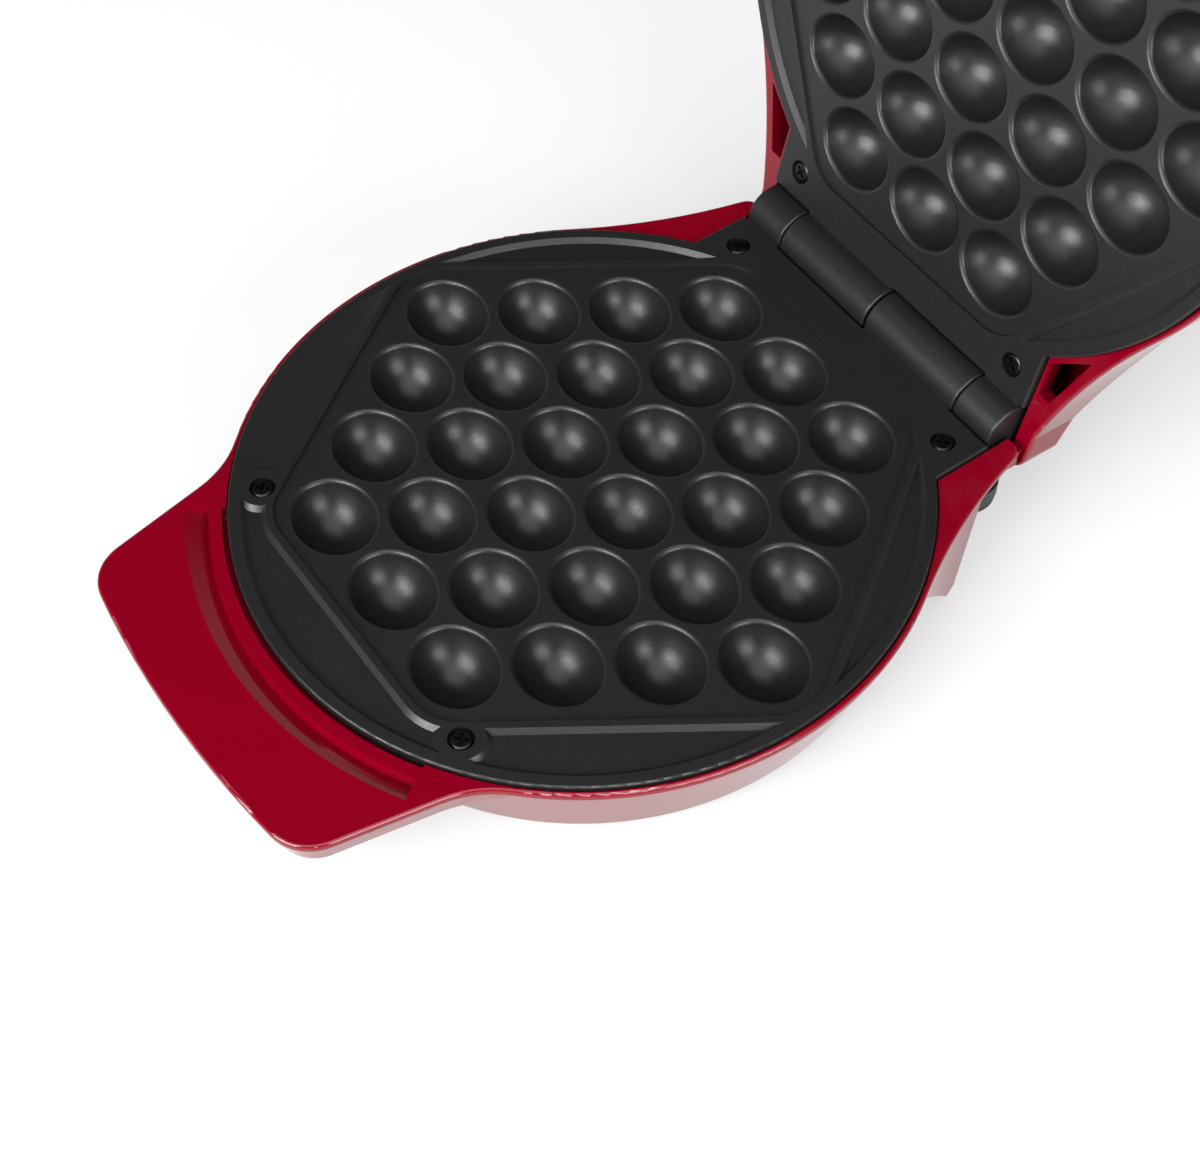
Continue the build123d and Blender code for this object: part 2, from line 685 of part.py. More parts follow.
def base_cavity():
    """Everything that is hollow in the base below its shelf."""
    with BuildPart() as cavity:
        with BuildSketch(BASE.offset(-SHELF_BACK)):
            Circle(bowl_r(SHELF_BACK) - WALL)
        with BuildSketch(BASE.offset(-BASE_DEPTH)):
            Circle(BASE_FOOT_R - WALL)
        loft()
        add(rear_wedge(REAR_WALL), mode=Mode.SUBTRACT)
        add(wing_block(WALL, REAR_WALL))
        with BuildSketch(BASE):
            Rectangle(3 * BODY_R, 3 * BODY_R)
        extrude(amount=-SHELF_BACK, mode=Mode.SUBTRACT)
        with BuildSketch(BASE.offset(-SHELF_BACK)):
            with Locations((0, (REAR_LEAN_FOOT + SLOT_START - WALL) / 2)):
                Rectangle(2 * SLOT_HALF, SLOT_START - WALL - REAR_LEAN_FOOT)
        extrude(amount=SHELF_BACK - SLOT_DEPTH)
    return cavity.part


def base_housing():
    """Red outer shell of the base: bowl, hinge wing, rear trough for the hinge, and grip."""
    cavity = base_cavity()
    wing = wing_block()
    wedge = rear_wedge()
    hollows = []
    for inner, roof in ((BODY_R, GRIP_ROOF), (MOAT_ROOF_R, GRIP_ROOF_FRONT)):
        with BuildPart() as hollow:
            add(grip_skirt(roof, WALL))
            with BuildSketch(BASE):
                Circle(inner)
            extrude(amount=-BASE_DEPTH, mode=Mode.SUBTRACT)
        hollows.append(hollow.part)
    with BuildPart() as shell:
        with BuildSketch(BASE.offset(-BASE_BAND)):
            add(housing_outline(BASE_REAR))
        extrude(amount=BASE_BAND - BASE_RIM)
        fillet(shell.faces().sort_by(axis_of(BASE))[-1].outer_wire().edges(), EDGE_ROUND)
        with BuildSketch(BASE.offset(-BASE_BAND)):
            Circle(BODY_R)
        with BuildSketch(BASE.offset(-BASE_DEPTH)):
            Circle(BASE_FOOT_R)
        loft()
        add(wedge, mode=Mode.SUBTRACT)
        add(wing)
        add(grip_skirt(BASE_BAND))

        with BuildSketch(BASE.offset(-BASE_BAND)):
            with Locations((0, (REAR_LEAN_FOOT + BASE_SLOT_REAR) / 2)):
                Rectangle(2 * (SLOT_HALF + WALL), BASE_SLOT_REAR - REAR_LEAN_FOOT)
        extrude(amount=BASE_BAND - SLOT_FLOOR)
        with BuildSketch(BASE.offset(-BASE_BAND)):
            with Locations((0, (CHEEK_START + BASE_REAR) / 2)):
                Rectangle(2 * CHEEK_HALF, BASE_REAR - CHEEK_START)
        extrude(amount=BASE_BAND - CHEEK_DEPTH)
        add(cavity, mode=Mode.SUBTRACT)

        with BuildSketch(BASE.offset(-SHELF_BACK)):
            with Locations(*FRONT_SCREW_PLACES):
                Circle(BOSS_R)
        extrude(amount=SHELF_BACK - FRONT_BOSS_DEPTH)
        with BuildSketch(BASE.offset(-SHELF_BACK)):
            with Locations(*REAR_SCREW_PLACES):
                Circle(BOSS_R)
        extrude(amount=SHELF_BACK - SLOT_FLOOR)
        with BuildSketch(BASE.offset(-COVER_TOP)):
            with Locations(*COVER_SCREW_PLACES):
                Circle(COVER_POST_R)
        extrude(amount=COVER_TOP - COVER_POST_TOP)
        with BuildSketch(facing(BASE, GLAND_X, GLAND_PAD_START, GLAND_DEPTH)):
            Rectangle(*GLAND_PAD)
        extrude(amount=GLAND_PAD_END - GLAND_PAD_START)

        with BuildSketch(BASE):
            add(plate_outline(PLATE_GAP))
        extrude(amount=-SHELF_TOP, mode=Mode.SUBTRACT)
        with BuildSketch(BASE):
            add(shelf_opening())
        extrude(amount=-SHELF_BACK, mode=Mode.SUBTRACT)
        with BuildSketch(BASE):
            add(web_notches())
        extrude(amount=-SHELF_BACK, mode=Mode.SUBTRACT)
        with BuildSketch(BASE):
            with Locations((0, SLOT_START + KNUCKLE_R)):
                Rectangle(2 * SLOT_HALF, 2 * KNUCKLE_R)
        extrude(amount=-SLOT_DEPTH, mode=Mode.SUBTRACT)
        with BuildSketch(BASE):
            with Locations(*PLATE_SCREW_PLACES):
                Circle(PLATE_SHANK_R + SCREW_PLAY)
        extrude(amount=-RECESS_DEPTH - PLATE_SHANK_LONG - SCREW_END_GAP, mode=Mode.SUBTRACT)
        with BuildSketch(BASE.offset(-COVER_TOP)):
            with Locations(*COVER_SCREW_PLACES):
                Circle(SMALL_SCREW_R + SCREW_PLAY)
        extrude(amount=SMALL_SCREW_LONG, mode=Mode.SUBTRACT)
        with BuildSketch(BASE.offset(-BASE_DEPTH)):
            with Locations(*[(x, (LEG_STAND_START + LEG_STAND_Y) / 2) for x, y in REAR_FEET]):
                Rectangle(2 * (LEG_STAND_R + LEG_GAP), LEG_STAND_Y - LEG_STAND_START)
        extrude(amount=BASE_DEPTH - LEG_STAND_TOP + LEG_GAP, mode=Mode.SUBTRACT)
        with BuildSketch(facing(BASE, GLAND_X, GLAND_START, GLAND_DEPTH)):
            Circle(GLAND_R + SCREW_PLAY)
        extrude(amount=GLAND_PAD_END - GLAND_START, mode=Mode.SUBTRACT)

        for hollow in hollows:
            add(hollow, mode=Mode.SUBTRACT)
        with BuildSketch(radial(BASE, -90 - LIP_HALF_ANGLE)):
            with Locations(((PLATE_R + LIP_INNER_R) / 2, -SHELF_TOP / 2)):
                Rectangle(LIP_INNER_R - PLATE_R, SHELF_TOP)
            with BuildLine():
                Polyline([(LIP_OUTER_R, 0), (LIP_OUTER_R, -BASE_RIM - 1), (MOAT_FLOOR_R, -MOAT_DEPTH),
                          (MOAT_OUTER_R, -BASE_RIM), (MOAT_OUTER_R, 0)], close=True)
            make_face()
        revolve(axis=axis_of(BASE), revolution_arc=2 * LIP_HALF_ANGLE, mode=Mode.SUBTRACT)
    return shell.part


def base_bottom_cover():
    """Black bottom with vents, posts for the shield, and two legs that carry the rear feet."""
    wedge = rear_wedge(REAR_WALL + COVER_GAP)
    with BuildPart() as cover:
        with BuildSketch(BASE.offset(-COVER_TOP)):
            Circle(BASE_FOOT_R - WALL - COVER_GAP)
            with GridLocations(VENT_PITCH, 0, VENTS, 1):
                SlotOverall(*VENT_SIZE, rotation=90, mode=Mode.SUBTRACT)
        extrude(amount=-COVER_THICK)
        add(wedge, mode=Mode.SUBTRACT)
        with BuildSketch(BASE.offset(-COVER_TOP)):
            with Locations(*SHIELD_SCREW_PLACES):
                Circle(SHIELD_POST_R)
        extrude(amount=COVER_TOP - SHIELD_DEPTH - SHIELD_THICK)
        with BuildSketch(BASE.offset(-COVER_TOP)):
            with PolarLocations(BLOCK_RING, 1, start_angle=BLOCK_ANGLE):
                Rectangle(BLOCK_SIZE[0] - 2 * BLOCK_STEP, BLOCK_SIZE[1] - 2 * BLOCK_STEP)
        extrude(amount=COVER_TOP - WIRE_DEPTH - BLOCK_SIZE[2] / 2)
        with BuildSketch(BASE.offset(-LEG_STAND_TOP)):
            with Locations(*REAR_FEET):
                Circle(LEG_STAND_R)
            with Locations(*[(x, (LEG_STAND_START + LEG_STAND_Y) / 2) for x, y in REAR_FEET]):
                Rectangle(2 * LEG_STAND_R, LEG_STAND_Y - LEG_STAND_START)
        extrude(amount=LEG_STAND_TOP - BASE_DEPTH)
        with BuildSketch(BASE.offset(-COVER_TOP)):
            with Locations(*COVER_SCREW_PLACES):
                Circle(SMALL_SCREW_R + SCREW_PLAY)
        extrude(amount=-COVER_THICK, mode=Mode.SUBTRACT)
        with BuildSketch(BASE.offset(-BASE_DEPTH)):
            with Locations(*FRONT_FEET, *REAR_FEET):
                Circle(STUD_R + SCREW_PLAY)
        extrude(amount=STUD_HIGH, mode=Mode.SUBTRACT)
        with BuildSketch(BASE.offset(-SHIELD_DEPTH)):
            with Locations(*SHIELD_SCREW_PLACES):
                Circle(SMALL_SCREW_R + SCREW_PLAY)
        extrude(amount=-STUD_HIGH - SHIELD_THICK, mode=Mode.SUBTRACT)
    return cover.part


def feet(places, foot_r):
    """Rubber feet whose studs press into the bottom cover."""
    with BuildPart() as pads:
        with BuildSketch(BASE.offset(-MATE_Z)):
            with Locations(*places):
                Circle(foot_r)
        extrude(amount=MATE_Z - BASE_DEPTH)
        with BuildSketch(BASE.offset(-BASE_DEPTH)):
            with Locations(*places):
                Circle(STUD_R)
        extrude(amount=STUD_HIGH - 2 * SCREW_PLAY)
    return pads.part


# Electrical pieces of the base


def thermostat():
    """Disc thermostat on the plate's pad, with two tabs."""
    with BuildPart() as switch:
        with BuildSketch(BASE.offset(-PAD_DEPTH)):
            with PolarLocations(WIRE_RING, 1, start_angle=PAD_ANGLE):
                Circle(THERMOSTAT_R)
        extrude(amount=-THERMOSTAT_HIGH)
        with BuildSketch(BASE.offset(-PAD_DEPTH - THERMOSTAT_HIGH)):
            with PolarLocations(WIRE_RING, 1, start_angle=PAD_ANGLE):
                with Locations((0, -TAB_SPREAD), (0, TAB_SPREAD)):
                    Rectangle(TAB_SIZE[0], TAB_SIZE[1])
        extrude(amount=-TAB_SIZE[2])
    return switch.part


def terminal_block():
    """Ceramic block where the mains leads meet the inner wires."""
    with BuildPart() as block:
        with BuildSketch(BASE.offset(-WIRE_DEPTH - BLOCK_SIZE[2] / 2)):
            with PolarLocations(BLOCK_RING, 1, start_angle=BLOCK_ANGLE):
                Rectangle(BLOCK_SIZE[0], BLOCK_SIZE[1])
        extrude(amount=BLOCK_SIZE[2])
        with BuildSketch(BASE.offset(BLOCK_SIZE[2] / 2 - WIRE_DEPTH)):
            with PolarLocations(BLOCK_RING, 1, start_angle=BLOCK_ANGLE):
                with GridLocations(BLOCK_SIZE[0] / 3, BLOCK_SIZE[1] / 2, 3, 2):
                    Circle(SMALL_SCREW_R)
        extrude(amount=-STUD_HIGH, mode=Mode.SUBTRACT)
    return block.part


def cable_gland():
    """Strain relief in the rear wall: threaded neck, flange and tapered boot round the cord's bore."""
    flange_r, flange_thick = GLAND_FLANGE
    flange_end = GLAND_PAD_END + flange_thick
    with BuildPart() as gland:
        with BuildSketch(across(BASE.offset(-GLAND_DEPTH), GLAND_X)):
            with BuildLine():
                Polyline([(GLAND_START, GLAND_BORE_R), (GLAND_START, GLAND_R), (GLAND_PAD_END, GLAND_R),
                          (GLAND_PAD_END, flange_r), (flange_end, flange_r), (flange_end, GLAND_BOOT[0]),
                          (GLAND_END, GLAND_BOOT[1]), (GLAND_END, GLAND_BORE_R)], close=True)
            make_face()
        revolve(axis=Axis(BASE.from_local_coords((GLAND_X, 0, -GLAND_DEPTH)), BASE.y_dir))
    return gland.part


def gland_nut():
    with BuildPart() as nut:
        with BuildSketch(facing(BASE, GLAND_X, GLAND_PAD_START, GLAND_DEPTH)):
            RegularPolygon(NUT_FLATS / 2, 6, major_radius=False)
            Circle(GLAND_R + SCREW_PLAY, mode=Mode.SUBTRACT)
        extrude(amount=-NUT_THICK)
    return nut.part


def hinge_pin():
    """Headed steel pin, pressed into the base's knuckles."""
    end = -END_KNUCKLE[1] + PIN_BLIND - PIN_SHORT
    with BuildPart() as pin:
        with BuildSketch(across(BASE, END_KNUCKLE[0] - PIN_HEAD_THICK)):
            with Locations((HINGE_Y, 0)):
                Circle(PIN_HEAD_R)
        extrude(amount=PIN_HEAD_THICK)
        with BuildSketch(across(BASE, END_KNUCKLE[0])):
            with Locations((HINGE_Y, 0)):
                Circle(PIN_R)
        extrude(amount=end - END_KNUCKLE[0])
    return pin.part


# Lid housing


def lid_slope_cut(inset=0.0):
    """Space behind the lid's sloping back toward the hinge."""
    rise = inset * sqrt(1 + LID_SLOPE ** 2)
    far_y = LID_REAR + 2 * LID_CROWN
    below = 2 * LID_DEPTH
    with BuildPart() as cut:
        with BuildSketch(across(LID, -BODY_R)):
            with BuildLine():
                Polyline([(LID_SLOPE_START, rise - LID_DEPTH),
                          (far_y, rise - LID_DEPTH + LID_SLOPE * (far_y - LID_SLOPE_START)),
                          (far_y, -below), (LID_SLOPE_START, -below)], close=True)
            make_face()
        extrude(amount=2 * BODY_R)
    return cut.part


def on_the_back(edge):
    """True for an edge that bounds the lid's back, flat or sloping."""
    spots = [LID.to_local_coords(edge.position_at(share)) for share in (0.0, 0.5, 1.0)]
    backs = [-LID_DEPTH + LID_SLOPE * max(spot.Y - LID_SLOPE_START, 0) for spot in spots]
    return all(abs(spot.Z - back) < 0.01 for spot, back in zip(spots, backs))


def lid_housing():
    """Red outer shell of the lid, with its grip, the hinge slot, stop ribs and posts."""
    side_pockets = [[(side * x, y) for x, y in SIDE_POCKET] for side in BOTH_SIDES]
    with BuildPart() as cavity:
        with BuildSketch(LID.offset(-SLOT_FLOOR)):
            add(lid_outline(LID_WALL))
        extrude(amount=SLOT_FLOOR - LID_ROOF, taper=LID_TAPER)
        add(lid_slope_cut(WALL), mode=Mode.SUBTRACT)
    with BuildPart() as shell:
        with BuildSketch(LID.offset(-LID_BAND)):
            add(lid_outline())
        extrude(amount=LID_BAND - LID_DEPTH, taper=LID_TAPER)
        add(lid_slope_cut(), mode=Mode.SUBTRACT)
        fillet(shell.edges().filter_by(on_the_back), LID_CROWN)
        add(cavity.part, mode=Mode.SUBTRACT)
        with BuildSketch(LID.offset(-SHELF_BACK)):
            add(lid_outline(LID_WALL))
            with Locations((0, SLOT_START - WALL + BODY_R)):
                Rectangle(3 * BODY_R, 2 * BODY_R, mode=Mode.SUBTRACT)
        extrude(amount=SHELF_BACK - SLOT_FLOOR, mode=Mode.SUBTRACT)
    with BuildPart() as whole:
        with BuildSketch(LID.offset(-LID_BAND)):
            add(housing_outline(LID_REAR))
        extrude(amount=LID_BAND - LID_RIM)
        fillet(whole.faces().sort_by(axis_of(LID))[-1].outer_wire().edges(), EDGE_ROUND)
        with BuildSketch(LID.offset(-LID_BAND)):
            add(grip_outline())
            Circle(BODY_R - WALL, mode=Mode.SUBTRACT)
        extrude(amount=LID_BAND - LID_GRIP_DEPTH)
        add(shell.part)
        with BuildSketch(LID.offset(-LID_GRIP_DEPTH)):
            add(grip_outline(WALL))
            Circle(BODY_R, mode=Mode.SUBTRACT)
        extrude(amount=LID_GRIP_DEPTH - LID_BAND - WALL, mode=Mode.SUBTRACT)

        with BuildSketch(LID.offset(-SHELF_BACK)):
            with Locations(*PLATE_SCREW_PLACES):
                Circle(BOSS_R)
        extrude(amount=SHELF_BACK - SLOT_FLOOR)
        with BuildSketch(LID.offset(-LID_ROOF)):
            with Locations(*SHIELD_SCREW_PLACES):
                Circle(SHIELD_POST_R)
        extrude(amount=LID_ROOF - SHIELD_DEPTH - SHIELD_THICK)
        with BuildSketch(LID.offset(-LID_ROOF)):
            with Locations(*[(side * HOLDER_POST_X, LAMP_Y) for side in BOTH_SIDES]):
                Circle(HOLDER_POST_R)
        extrude(amount=LID_ROOF - HOLDER_DEPTH[1])
        with BuildSketch(LID.offset(-STOP_DEPTH[0])):
            with Locations(*[(side * sum(STOP_X) / 2, sum(STOP_Y) / 2) for side in BOTH_SIDES]):
                Rectangle(STOP_X[1] - STOP_X[0], STOP_Y[1] - STOP_Y[0])
        extrude(amount=STOP_DEPTH[0] - STOP_DEPTH[1])

        with BuildSketch(LID):
            add(plate_outline(PLATE_GAP))
        extrude(amount=-SHELF_TOP, mode=Mode.SUBTRACT)
        with BuildSketch(LID):
            add(shelf_opening())
        extrude(amount=-SHELF_BACK, mode=Mode.SUBTRACT)
        with BuildSketch(LID):
            add(web_notches())
        extrude(amount=-SHELF_BACK, mode=Mode.SUBTRACT)
        with BuildSketch(LID):
            with Locations((0, (SLOT_START + LID_SLOT_REAR) / 2)):
                Rectangle(2 * SLOT_HALF, LID_SLOT_REAR - SLOT_START)
        extrude(amount=-SLOT_DEPTH, mode=Mode.SUBTRACT)
        with BuildSketch(LID):
            for corners in side_pockets:
                with BuildLine():
                    Polyline(corners, close=True)
                make_face()
        extrude(amount=-SIDE_POCKET_DEPTH, mode=Mode.SUBTRACT)
        with BuildSketch(LID):
            with Locations(*PLATE_SCREW_PLACES):
                Circle(PLATE_SHANK_R + SCREW_PLAY)
        extrude(amount=-RECESS_DEPTH - PLATE_SHANK_LONG - SCREW_END_GAP, mode=Mode.SUBTRACT)
        with BuildSketch(LID.offset(-SHIELD_DEPTH)):
            with Locations(*SHIELD_SCREW_PLACES):
                Circle(SMALL_SCREW_R + SCREW_PLAY)
        extrude(amount=-STUD_HIGH - SHIELD_THICK, mode=Mode.SUBTRACT)
        with BuildSketch(LID.offset(-LID_ROOF)):
            with Locations((-LAMP_X, LAMP_Y), (LAMP_X, LAMP_Y)):
                Circle(LENS_R + SCREW_PLAY)
        extrude(amount=-WALL, mode=Mode.SUBTRACT)
    return whole.part


# Lamps of the lid


def indicator_lamps():
    with BuildPart() as lamps:
        with BuildSketch(LID.offset(-LAMP_DEPTH)):
            with Locations((-LAMP_X, LAMP_Y), (LAMP_X, LAMP_Y)):
                Circle(LAMP_R)
        extrude(amount=-LAMP_LONG)
        fillet(lamps.edges().group_by(axis_of(LID))[0], LAMP_ROUND)
    return lamps.part


def lamp_holder():
    """Bar on two posts that carries the lamps below their lenses."""
    top, bottom = HOLDER_DEPTH
    with BuildPart() as holder:
        with BuildSketch(LID.offset(-top)):
            with Locations((0, LAMP_Y)):
                SlotOverall(*HOLDER_SIZE)
            with Locations((-LAMP_X, LAMP_Y), (LAMP_X, LAMP_Y)):
                Circle(LAMP_R + SCREW_PLAY, mode=Mode.SUBTRACT)
        extrude(amount=top - bottom)
    return holder.part


def lens(side):
    """Clear button over a lamp, flanged inside the lid's roof."""
    flange_r, flange_thick = LENS_FLANGE
    with BuildPart() as button:
        with BuildSketch(LID.offset(flange_thick - LID_ROOF)):
            with Locations((side * LAMP_X, LAMP_Y)):
                Circle(flange_r)
        extrude(amount=-flange_thick)
        with BuildSketch(LID.offset(-LID_ROOF)):
            with Locations((side * LAMP_X, LAMP_Y)):
                Circle(LENS_R)
        extrude(amount=-WALL - LENS_PROUD)
        fillet(button.edges().group_by(axis_of(LID))[0], LENS_ROUND)
    return button.part


plates = plate_casting()
save("base_housing", base_housing())
save("base_bottom_cover", base_bottom_cover())
save("bottom_cover_screws", pan_screws(back_of(BASE), [(-x, y) for x, y in COVER_SCREW_PLACES], -BASE_DEPTH,
                                       SMALL_HEAD, SMALL_SCREW_R, SMALL_SCREW_LONG))
save("front_feet", feet(FRONT_FEET, FOOT_R))
save("rear_feet", feet(REAR_FEET, REAR_FOOT_R))
save("base_cooking_plate", cooking_plate(BASE, plates, END_KNUCKLE[0] - 1, PIN_R))
save("thermostat", thermostat())
save("terminal_block", terminal_block())
save("base_thermal_fuse", arcs_round(BASE, [(WIRE_RING, *BASE_FUSE)], WIRE_DEPTH, FUSE_R))
save("base_wiring", arcs_round(BASE, BASE_WIRES, WIRE_DEPTH, WIRE_R))
save("cable_gland", cable_gland())
save("cable_gland_nut", gland_nut())
save("hinge_pin", hinge_pin())

save("lid_housing", lid_housing())
save("lid_cooking_plate", cooking_plate(LID, plates, END_KNUCKLE[1] - PIN_BLIND, PIN_R + PIN_PLAY))
save("lid_thermal_fuse", arcs_round(LID, [(WIRE_RING, *LID_FUSE)], WIRE_DEPTH, FUSE_R))
save("lid_wiring", arcs_round(LID, LID_WIRES, WIRE_DEPTH, WIRE_R))
save("indicator_lamps", indicator_lamps())
save("lamp_holder", lamp_holder())
save("power_lens", lens(-1))
save("ready_lens", lens(1))

for name, half in (("base", BASE), ("lid", LID)):
    save(f"{name}_plate_screws", plate_screws(half))
    save(f"{name}_heating_element", heating_element(half))
    save(f"{name}_element_clamps", element_clamps(half))
    save(f"{name}_clamp_screws", clamp_screws(half))
    save(f"{name}_heat_shield", heat_shield(half))
    save(f"{name}_shield_screws", shield_screws(half))
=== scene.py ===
"""Bubble waffle maker, standing open: its looks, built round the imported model.

Every visible piece is a node of that model and wears the finish of its real material. Values whose names
end in _mm are millimetres and those in _m are metres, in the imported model's own frame.
"""

import logging
import math
from dataclasses import dataclass

import bpy
from mathutils import Matrix, Vector

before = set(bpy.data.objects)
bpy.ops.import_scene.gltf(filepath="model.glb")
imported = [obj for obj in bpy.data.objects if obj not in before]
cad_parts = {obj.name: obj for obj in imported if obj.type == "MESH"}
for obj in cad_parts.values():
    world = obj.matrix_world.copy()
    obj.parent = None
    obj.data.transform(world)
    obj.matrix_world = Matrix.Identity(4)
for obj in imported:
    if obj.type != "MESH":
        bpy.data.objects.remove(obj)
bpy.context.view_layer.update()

log = logging.getLogger("bubble_waffle_maker")

MM = 0.001
WHITE = (1.0, 1.0, 1.0, 1.0)

# The sRGB curve: its straight foot, and the power that takes over above it
BYTE_MAX = 255
SRGB_FOOT_END = 0.04045
SRGB_FOOT_SLOPE = 12.92
SRGB_OFFSET = 0.055
SRGB_POWER = 2.4


# Materials


def linear_channel(value: float) -> float:
    """Turn one sRGB channel, from 0 to 1, into its linear value."""
    if value <= SRGB_FOOT_END:
        return value / SRGB_FOOT_SLOPE
    return ((value + SRGB_OFFSET) / (1 + SRGB_OFFSET)) ** SRGB_POWER


def linear(hex_colour: str) -> tuple[float, float, float, float]:
    """Turn an sRGB hex colour into the linear colour that a shader takes.

    Args:
        hex_colour: six hex digits, with or without a hash.

    Returns:
        Red, green, blue and an alpha of one.
    """
    digits = hex_colour.lstrip("#")
    red, green, blue = (linear_channel(int(digits[k:k + 2], 16) / BYTE_MAX) for k in (0, 2, 4))
    return (red, green, blue, 1.0)


def add_node(tree: bpy.types.NodeTree, kind: str, inputs: dict, **settings) -> bpy.types.Node:
    """Add one node with its settings, values and links.

    Args:
        tree: the node tree.
        kind: the node's Blender type name.
        inputs: input name or index to a value, or to an output socket to link from.
        settings: attributes of the node.

    Returns:
        The new node.
    """
    made = tree.nodes.new(kind)
    for name, value in settings.items():
        setattr(made, name, value)
    for name, value in inputs.items():
        if isinstance(value, bpy.types.NodeSocket):
            tree.links.new(value, made.inputs[name])
        else:
            made.inputs[name].default_value = value
    return made


# The noise pattern mostly stays between these, and its detail adds finer layers
NOISE_LOW = 0.3
NOISE_HIGH = 0.7
GRAIN_DETAIL = 3.0
GRAIN_ROUGHNESS = 0.55
BLOTCH_DETAIL = 2.0


@dataclass(frozen=True)
class Finish:
    """A surface finish: its body colour, gloss and the fine relief that its making leaves.

    The relief is a noise pattern on the piece's own coordinates, grain_mm across and relief_mm high. It
    also sways the gloss by gloss_spread, and a coarser one, blotch_mm across, sways the colour's tone.
    """

    name: str
    colour: str
    roughness: float
    ior: float = 1.5
    metallic: float = 0.0
    grain_mm: float = 1.0
    relief_mm: float = 0.01
    gloss_spread: float = 0.04
    tone_spread: float = 0.06
    blotch_mm: float = 25.0
    transmission: float = 0.0
    stretch: tuple[float, float, float] = (1.0, 1.0, 1.0)

    def material(self) -> bpy.types.Material:
        """Return this finish's material, made on first use."""
        known = bpy.data.materials.get(self.name)
        if known is not None:
            return known
        made = bpy.data.materials.new(self.name)
        made.use_nodes = True
        tree = made.node_tree
        tree.nodes.clear()
        place = add_node(tree, "ShaderNodeTexCoord", {})
        scaled = add_node(tree, "ShaderNodeMapping",
                          {"Vector": place.outputs["Object"], "Scale": self.stretch})
        vector = scaled.outputs["Vector"]
        grain = self.noise(tree, vector, self.grain_mm, {"Detail": GRAIN_DETAIL, "Roughness": GRAIN_ROUGHNESS})
        blotch = self.noise(tree, vector, self.blotch_mm, {"Detail": BLOTCH_DETAIL})
        tone = self.sway(tree, blotch, 1.0, self.tone_spread)
        colour = add_node(tree, "ShaderNodeVectorMath", {0: linear(self.colour)[:3], "Scale": tone},
                          operation="SCALE")
        gloss = self.sway(tree, grain, self.roughness, self.gloss_spread)
        relief = add_node(tree, "ShaderNodeBump",
                          {"Height": grain, "Strength": 1.0, "Distance": self.relief_mm * MM})
        shader = add_node(tree, "ShaderNodeBsdfPrincipled",
                          {"Base Color": colour.outputs["Vector"], "Roughness": gloss,
                           "Metallic": self.metallic, "Transmission Weight": self.transmission,
                           "Normal": relief.outputs["Normal"]})
        if self.metallic == 0.0:
            shader.inputs["IOR"].default_value = self.ior
        add_node(tree, "ShaderNodeOutputMaterial", {"Surface": shader.outputs["BSDF"]})
        return made

    def noise(self, tree: bpy.types.NodeTree, vector: bpy.types.NodeSocket, size_mm: float,
              layers: dict) -> bpy.types.NodeSocket:
        """Return a noise pattern.

        Args:
            tree: the node tree.
            vector: the pattern's coordinates.
            size_mm: how far apart its lumps are.
            layers: the node's own inputs for its finer layers.
        """
        made = add_node(tree, "ShaderNodeTexNoise", {"Vector": vector, "Scale": 1 / (size_mm * MM), **layers})
        return made.outputs["Fac"]

    def sway(self, tree: bpy.types.NodeTree, pattern: bpy.types.NodeSocket, middle: float,
             spread: float) -> bpy.types.NodeSocket:
        """Return a value that a pattern moves to either side of its middle.

        Args:
            tree: the node tree.
            pattern: the noise pattern.
            middle: the value at the pattern's middle.
            spread: how far the value goes to either side.
        """
        made = add_node(tree, "ShaderNodeMapRange",
                        {"Value": pattern, "From Min": NOISE_LOW, "From Max": NOISE_HIGH,
                         "To Min": middle - spread, "To Max": middle + spread})
        return made.outputs["Result"]


# Die-cast aluminium sprayed with a baked fluoropolymer coat: charcoal, satin, with faint orange peel
CASTING_COAT = Finish("sprayed_nonstick_coat_on_cast_aluminium", "#121212", 0.38, ior=1.40, grain_mm=0.9,
                      relief_mm=0.012, gloss_spread=0.05, tone_spread=0.05)
# Injection-moulded ABS from a polished mould: deep crimson with a hard, clean gloss
RED_GLOSS = Finish("polished_mould_crimson_abs", "#620012", 0.1, ior=1.46, grain_mm=14.0, relief_mm=0.004,
                   gloss_spread=0.015, tone_spread=0.02)
# Glass-filled nylon from a spark-eroded mould: black with a fine even texture
BLACK_MOULDING = Finish("spark_textured_black_nylon", "#1B1B1C", 0.5, ior=1.53, grain_mm=0.5, relief_mm=0.02)
# Moulded rubber, dull from its release powder
RUBBER = Finish("moulded_black_rubber", "#161616", 0.72, ior=1.52, grain_mm=0.7, relief_mm=0.03)
# Steel screws blackened in an oil bath: dark, slightly uneven in tone and gloss
BLACK_SCREW = Finish("oil_blackened_steel", "#353331", 0.32, metallic=1.0, grain_mm=0.35, relief_mm=0.008,
                     gloss_spread=0.08, tone_spread=0.15, blotch_mm=2.0)
# Zinc-plated steel: bright, faintly blue, with the plating's fine frost
ZINC_STEEL = Finish("zinc_plated_steel", "#B9BCC0", 0.28, metallic=1.0, grain_mm=0.4, relief_mm=0.006,
                    gloss_spread=0.07, tone_spread=0.08, blotch_mm=4.0)
# Rolled aluminium sheet: long fine mill lines, drawn 0.4 mm apart so that they show
MILL_SHEET = Finish("mill_rolled_aluminium_sheet", "#C9CACB", 0.34, metallic=1.0, grain_mm=0.4,
                    relief_mm=0.006, gloss_spread=0.08, tone_spread=0.05, stretch=(0.03, 1.0, 1.0))
